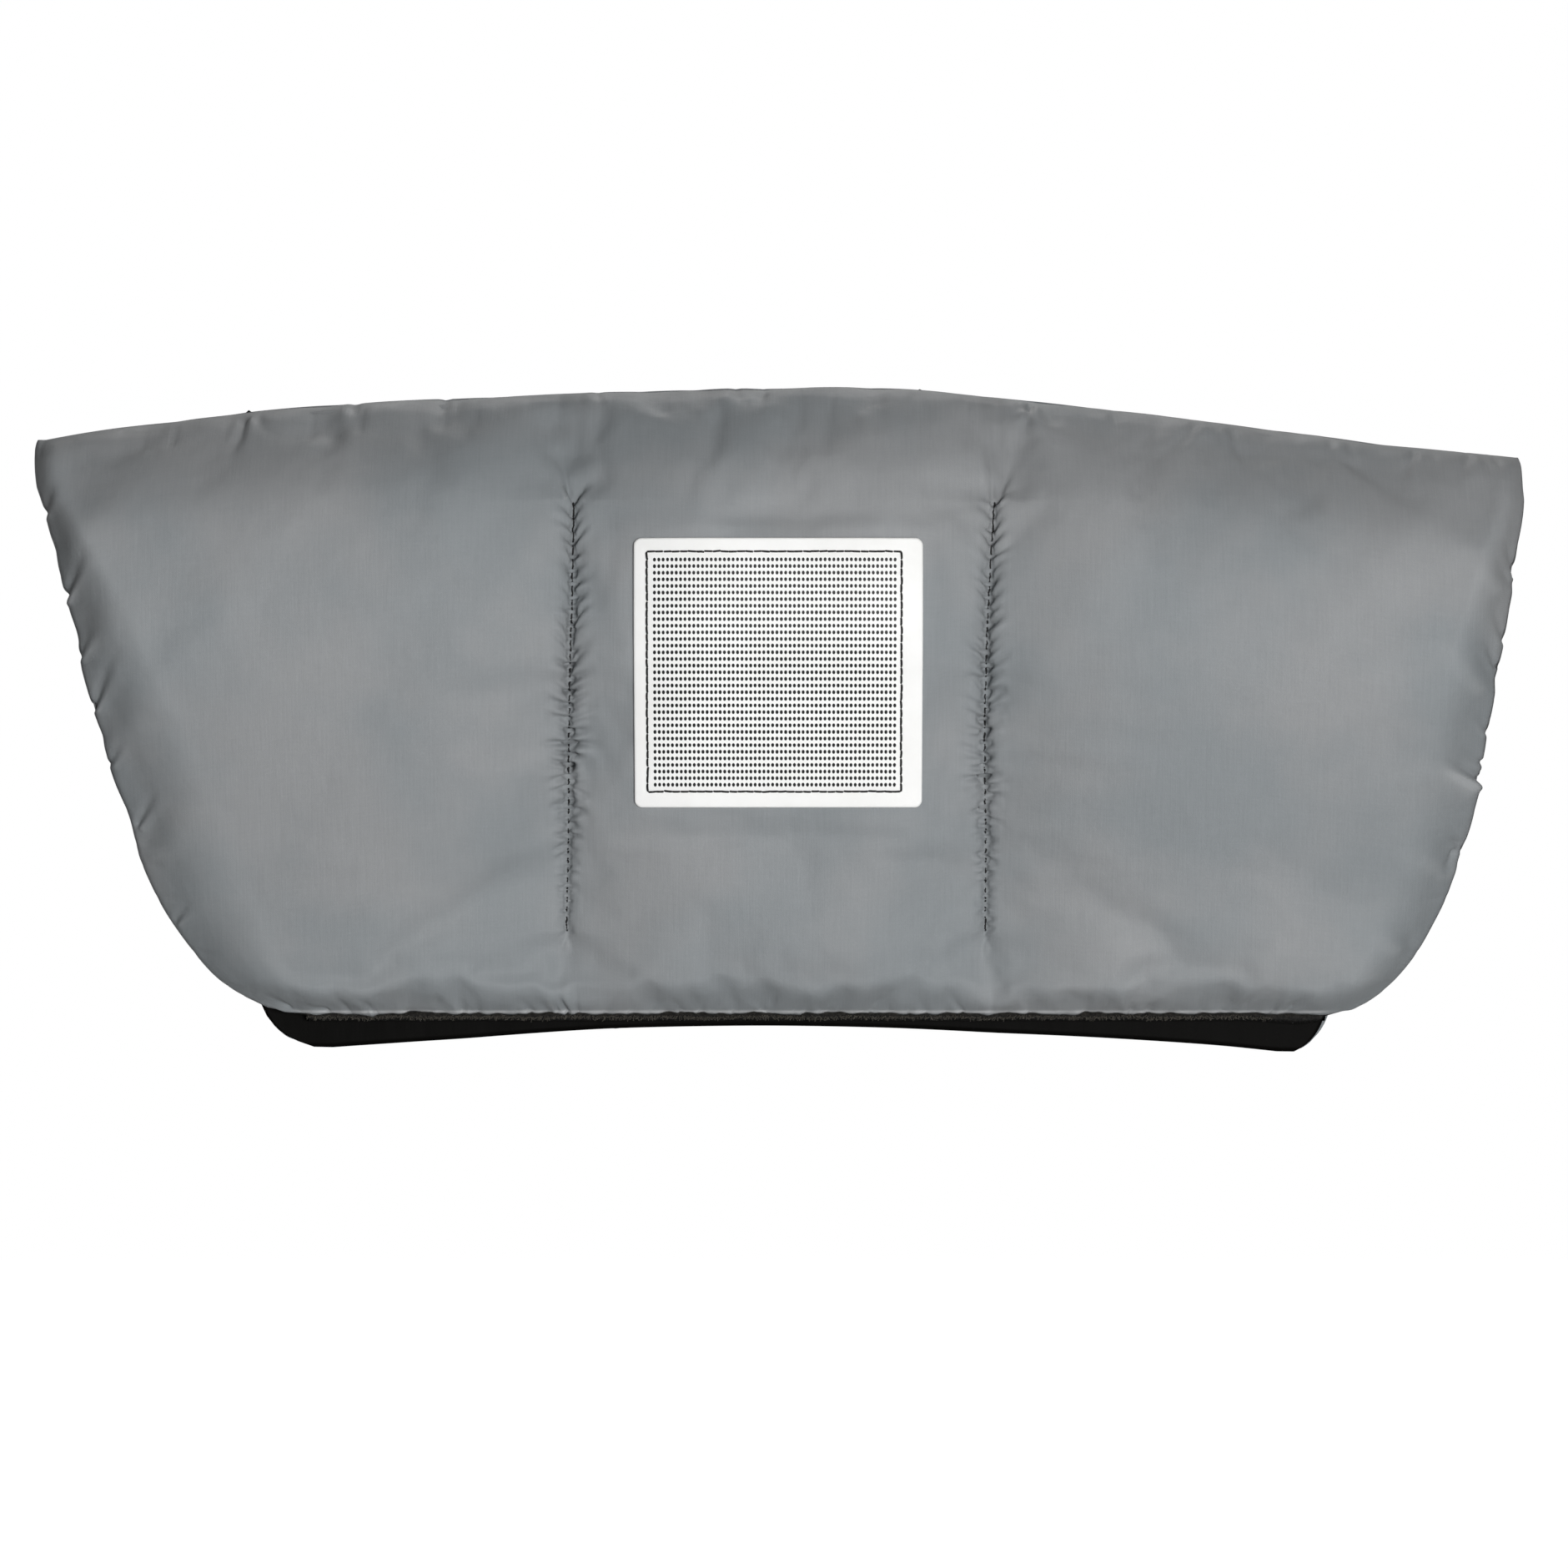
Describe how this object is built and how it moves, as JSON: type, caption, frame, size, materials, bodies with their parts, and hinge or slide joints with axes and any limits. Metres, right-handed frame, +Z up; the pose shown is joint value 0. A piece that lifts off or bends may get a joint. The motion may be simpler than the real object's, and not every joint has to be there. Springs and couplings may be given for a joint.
{
  "type": "stroller hand muff",
  "caption": "Padded hand muff that hangs over a pushchair handlebar: quilted grey panels sewn along an arched top, open ends, fleece lining, press studs below, a blank sewn-on patch.",
  "frame": {"origin": "middle of the stretch of handlebar that the muff hangs on, on the handlebar's axis", "axes": "+X along the handlebar to the right in the front view, +Z up; the front panel with the patch faces -Y"},
  "size_m": [0.498, 0.1074, 0.2207],
  "materials": {
    "shell": "grey woven nylon with a soft sheen",
    "wadding": "white polyester fibre wadding",
    "fleece": "black fleece with a short pile",
    "smooth_lining": "smooth black woven lining",
    "black_thread": "black polyester sewing thread",
    "grey_thread": "grey polyester sewing thread",
    "patch": "matt white rubber with a grid of small black dots",
    "press_studs": "nickel-plated"
  },
  "bodies": {
    "rear_panel": {"rear_shell": "shell", "rear_wadding": "wadding", "rear_lining": "smooth_lining", "rear_edge_thread": "grey_thread", "rear_quilt_thread_left": "black_thread", "rear_quilt_thread_right": "black_thread", "top_seam_thread": "grey_thread", "stud_left": "press_studs", "stud_middle": "press_studs", "stud_right": "press_studs", "stud_cap_left": "press_studs", "stud_cap_middle": "press_studs", "stud_cap_right": "press_studs"},
    "front_panel": {"front_shell": "shell", "front_wadding": "wadding", "front_lining": "fleece", "front_edge_thread": "grey_thread", "front_quilt_thread_left": "black_thread", "front_quilt_thread_right": "black_thread", "patch": "patch", "patch_thread": "black_thread", "socket_left": "press_studs", "socket_middle": "press_studs", "socket_right": "press_studs", "socket_cap_left": "press_studs", "socket_cap_middle": "press_studs", "socket_cap_right": "press_studs"}
  },
  "joints": [
    {"name": "front_panel_swing", "type": "hinge", "parent": "rear_panel", "child": "front_panel", "pos_m": [0, 0, 0.053], "axis": [-1, 0, 0], "range_deg": [0, 150]}
  ]
}
